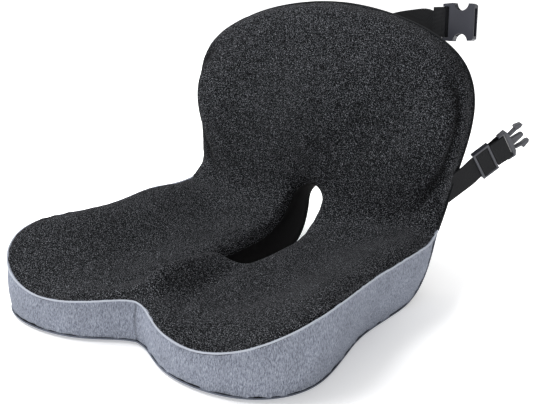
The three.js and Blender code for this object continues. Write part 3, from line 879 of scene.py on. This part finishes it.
def slices(node, axis, count, skip_start, skip_end):
    """Cuts a CAD strap across an axis and gives each cut's middle and its long direction."""
    axis = Vector(axis).normalized()
    reach = [v.co.dot(axis) for v in nodes[node].data.vertices]
    first, last = min(reach) + skip_start, max(reach) - skip_end
    middles, longs = [], []
    for i in range(count):
        mesh = bmesh.new()
        mesh.from_mesh(nodes[node].data)
        bmesh.ops.remove_doubles(mesh, verts=mesh.verts, dist=SAME_POINT_WITHIN)
        at = first + (last - first) * i / (count - 1)
        cut = bmesh.ops.bisect_plane(
            mesh, geom=mesh.verts[:] + mesh.edges[:] + mesh.faces[:], plane_co=axis * at, plane_no=axis)
        points = np.array([v.co[:] for v in cut["geom_cut"] if isinstance(v, bmesh.types.BMVert)])
        mesh.free()
        middle = (points.max(0) + points.min(0)) / 2
        spread = np.linalg.svd(points - points.mean(0))[2][0]
        middles.append(middle)
        longs.append(spread if not longs or spread @ longs[-1] > 0 else -spread)
    return np.array(middles), np.array(longs)


def resample(points, spacing):
    """Points at even steps along the broken line through the given ones."""
    points = np.asarray(points, float)
    length = np.concatenate([[0], np.cumsum(np.linalg.norm(np.diff(points, axis=0), axis=1))])
    count = max(2, int(length[-1] / spacing))
    even = np.linspace(0, length[-1], count)
    return np.stack([np.interp(even, length, points[:, k]) for k in range(3)], axis=1)


def relax(points, rounds):
    """Smooths a run of points and leaves its ends."""
    points = points.copy()
    for _ in range(rounds):
        points[1:-1] = (points[:-2] + 2 * points[1:-1] + points[2:]) / 4
    return points


def selvedge_outline(width, thickness):
    """Section of webbing: flat, with a slightly thicker rounded edge on each side."""
    half, deep = width / 2, thickness / 2
    bead = deep * BEAD_HEIGHT
    upper = [(half - SELVEDGE["round"], bead * ROUND_HEIGHT),
             (half - SELVEDGE["bead"], bead),
             (half - SELVEDGE["foot"], deep)]
    right = [(x, -y) for x, y in upper[::-1]] + [(half, 0)] + upper
    left = [(-x, y) for x, y in right[::-1]]
    flat = [(x * half, deep) for x in (0.5, 0.0, -0.5)]
    return right + flat + left + [(-x, -y) for x, y in flat]


def webbing(name, middles, longs):
    """A band of webbing, with its place across and along as an attribute."""
    centres = relax(resample(middles, WEBBING_STEP), 4)
    sides = relax(resample_like(longs, middles, centres), 4)
    ahead = np.gradient(centres, axis=0)
    outs = np.cross(ahead, sides)
    outline = selvedge_outline(WEBBING_WIDTH, WEBBING_THICKNESS)
    mesh = bmesh.new()
    tube(mesh, centres, outs, outline)
    piece = link(name, mesh)
    run = np.concatenate([[0], np.cumsum(np.linalg.norm(np.diff(centres, axis=0), axis=1))])
    weave = np.array([[a, run[i], 0] for i in range(len(centres)) for a, b in outline])
    point_attribute(piece.data, "weave", weave)
    return piece


def resample_like(values, source, target):
    """Values given at source points, carried over to target points along the run."""
    a = np.linspace(0, 1, len(source))
    b = np.linspace(0, 1, len(target))
    return np.stack([np.interp(b, a, values[:, k]) for k in range(3)], axis=1)


def lay_webbing(side, middles, longs, back, looks):
    """The webbing of one strap, run on into the cover in the direction "back"."""
    root = middles[0] + back / np.linalg.norm(back) * STRAP_RUN_ON[side]
    piece = webbing(side + "_webbing", np.vstack([root, middles]), np.vstack([longs[:1], longs]))
    finish_piece(piece, "black_webbing", looks["webbing"], side + "_strap")
    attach(piece, side + "_strap_end")


def build_straps(looks):
    """The two bands of webbing. Gives each one's sideways direction at the buckle."""
    middles, longs = slices("left_strap", (1, 0, 0), STRAP_CUTS["left"], STRAP_ROOT["left"], STRAP_TIP)
    lay_webbing("left", middles, longs, middles[0] - middles[1], looks)
    across = {"left": longs[-1]}

    heading = out_along_right_strap()
    middles, longs = slices("right_strap", heading, STRAP_CUTS["right"], STRAP_ROOT["right"], STRAP_TIP)
    lay_webbing("right", middles, longs, -heading, looks)
    across["right"] = longs[-1]
    return across


def out_along_right_strap():
    """From the seam to the buckle: the way the adjuster slides, turned about."""
    joint = next(j for j in frame["joints"] if j["name"] == "adjuster_slide")
    return -np.array(joint["axis"], float) / np.linalg.norm(joint["axis"])


# ---------------------------------------------------------------- moulded and metal parts

def polish(node, width, material, plumpness=0):
    """Rounds the edges of a CAD part that stays, and gives it its material. Plumpness makes it thicker."""
    part = nodes[node]
    weld = part.modifiers.new("weld", "WELD")
    weld.merge_threshold = SAME_POINT_WITHIN
    flat = part.modifiers.new("flat", "DECIMATE")
    flat.decimate_type = "DISSOLVE"
    flat.angle_limit = FLAT_WITHIN
    if plumpness:
        plump = part.modifiers.new("plump", "DISPLACE")
        plump.strength = plumpness
        plump.mid_level = 0
    bevel = part.modifiers.new("edges", "BEVEL")
    bevel.width = width
    bevel.segments = 2
    bevel.limit_method = "ANGLE"
    bevel.angle_limit = SHARP_FROM
    bevel.harden_normals = True
    part.data.materials.clear()
    part.data.materials.append(material)


def build_hardware(looks, across):
    """Buckle, slider and zipper: the CAD parts with rounded edges, and webbing folded round the bars."""
    moulded = ("female_buckle", "male_buckle", "buckle_prong_upper", "buckle_prong_lower", "strap_slider")
    for node in moulded:
        polish(node, MOULDED_EDGE, looks["plastic"])
    for node in ("left_strap_loop", "right_strap_loop", "strap_return_end"):
        side = node.split("_")[0] if node.endswith("loop") else "right"
        fold = fold_material(node + "_webbing", FOLD_COLOR, across[side])
        polish(node, FOLDED_EDGE, fold, plumpness=FOLD_PLUMPNESS)
    for node in ("zipper_slider", "zipper_pull", "zipper_stop_left", "zipper_stop_right"):
        polish(node, SMALL_EDGE, looks["metal"])
    for node in ("zipper_tape_upper", "zipper_tape_lower"):
        polish(node, SMALL_EDGE, looks["tape"])


def build_zipper_coil(looks):
    """Two rows of moulded coil loops that mesh in the middle of the tapes."""
    low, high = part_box("zipper_teeth")
    centre = (low + high) / 2
    pitch = COIL["pitch"]
    upright = np.array((0, math.sin(RECLINE), math.cos(RECLINE)))
    out = np.array((0, upright[2], -upright[1]))
    angles = np.linspace(0, math.pi, COIL["points"])[:, None]
    mesh = bmesh.new()
    for i in range(int((high.x - low.x) / pitch)):
        side = upright if i % 2 else -upright
        middle = np.array((low.x + (i + 0.5) * pitch, centre.y, centre.z))
        reach = COIL["reach"] * np.cos(angles) - COIL["overlap"]
        rise = COIL["rise"] * np.sin(angles) - COIL["sunk"]
        outs = side * np.cos(angles) + out * np.sin(angles)
        tube(mesh, middle + side * reach + out * rise, outs, circle(COIL["radius"], COIL["sides"]))
    piece = link("zipper_coil", mesh)
    finish_piece(piece, "black_nylon", looks["nylon"], "zipper_teeth")
    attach(piece, "back")


def build_grip_dots(looks):
    """Silicone dots on the flat of the underside, in staggered rows."""
    low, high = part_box("seat_bottom_panel")
    under = BVHTree.FromObject(bpy.data.objects["base_cover"], bpy.context.evaluated_depsgraph_get())
    pitch = DOTS["pitch"]
    mesh = bmesh.new()
    rows = int((high.y - low.y) / (pitch * 0.5))
    for j in range(rows):
        y = low.y + j * pitch * 0.5
        x = low.x + (pitch / 2 if j % 2 else 0)
        while x < high.x:
            start = Vector((x, y, low.z + UNDERSIDE["look_from"]))
            hit, normal, _, _ = under.ray_cast(start, Vector((0, 0, 1)))
            level = hit is not None and hit.z < UNDERSIDE["level_within"]
            if level and normal.z < UNDERSIDE["facing"]:
                add_dome(mesh, hit)
            x += pitch
    piece = link("grip_dots", mesh)
    finish_piece(piece, "black_nylon", looks["silicone"])
    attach(piece, "seat")


def add_dome(mesh, centre):
    """A closed low dome that stands down from the underside."""
    sides = DOTS["sides"]
    rings = []
    for share, drop in DOT_RINGS:
        depth = Vector((0, 0, -drop * DOTS["height"]))
        rings.append([mesh.verts.new(centre + Vector((x, y, 0)) + depth)
                      for x, y in circle(share * DOTS["radius"], sides)])
    for near, far in zip(rings, rings[1:]):
        for k in range(sides):
            n = (k + 1) % sides
            mesh.faces.new((near[k], far[k], far[n], near[n]))
    mesh.faces.new(rings[0])
    tip = mesh.verts.new(centre + Vector((0, 0, -DOTS["height"])))
    for k in range(sides):
        mesh.faces.new((rings[-1][(k + 1) % sides], rings[-1][k], tip))


# ---------------------------------------------------------------- assembly

looks = {
    "top_cover": heather(
        "black_heather", (0.0026, 0.0028, 0.0035), (0.285, 0.295, 0.325), (1, 1, 1), 0.545, 0.68, 0.0),
    "side_band": heather(
        "grey_heather", (0.128, 0.142, 0.185), (0.42, 0.45, 0.522), (1.2, 1.2, 0.3), 0.36, 0.66, 0.03),
    "base_cover": heather(
        "black_under_heather", (0.005, 0.0055, 0.0065), (0.05, 0.054, 0.06), (1, 1, 1), 0.48, 0.7, 0.0,
        rim=(0.2, 0.22, 0.28)),
    # The slot's lining is the same black knit, painted far darker with almost no flecks: painted shade
    # inside the slot.
    "slot_lining": heather(
        "slot_heather_painted_shade", (0.0004, 0.00045, 0.0006), (0.003, 0.0032, 0.004), (1, 1, 1),
        0.5, 0.75, 0.0),
    "light_cord": cord_material("light_cord", (0.5, 0.53, 0.6)),
    "grey_cord": cord_material("grey_cord", (0.17, 0.19, 0.235)),
    "dark_cord": cord_material("dark_cord", (0.012, 0.013, 0.015)),
    "webbing": webbing_material("webbing", (0.0065, 0.007, 0.0085)),
    "tape": cord_material("webbing_fold", FOLD_COLOR),
    "plastic": plastic_material("slate_plastic", (0.020, 0.021, 0.029), 0.42),
    "nylon": plastic_material("coil_nylon", (0.012, 0.012, 0.013), 0.4),
    "silicone": plastic_material("grip_silicone", (0.05, 0.052, 0.056), 0.5),
    "metal": metal_material("plated_zinc", (0.30, 0.31, 0.32)),
}

build_cushion(looks)
build_hardware(looks, across=build_straps(looks))
build_zipper_coil(looks)
build_grip_dots(looks)
setup_floor()
setup_world()
setup_lamps()
setup_camera()

bpy.context.scene.view_settings.view_transform = "Standard"
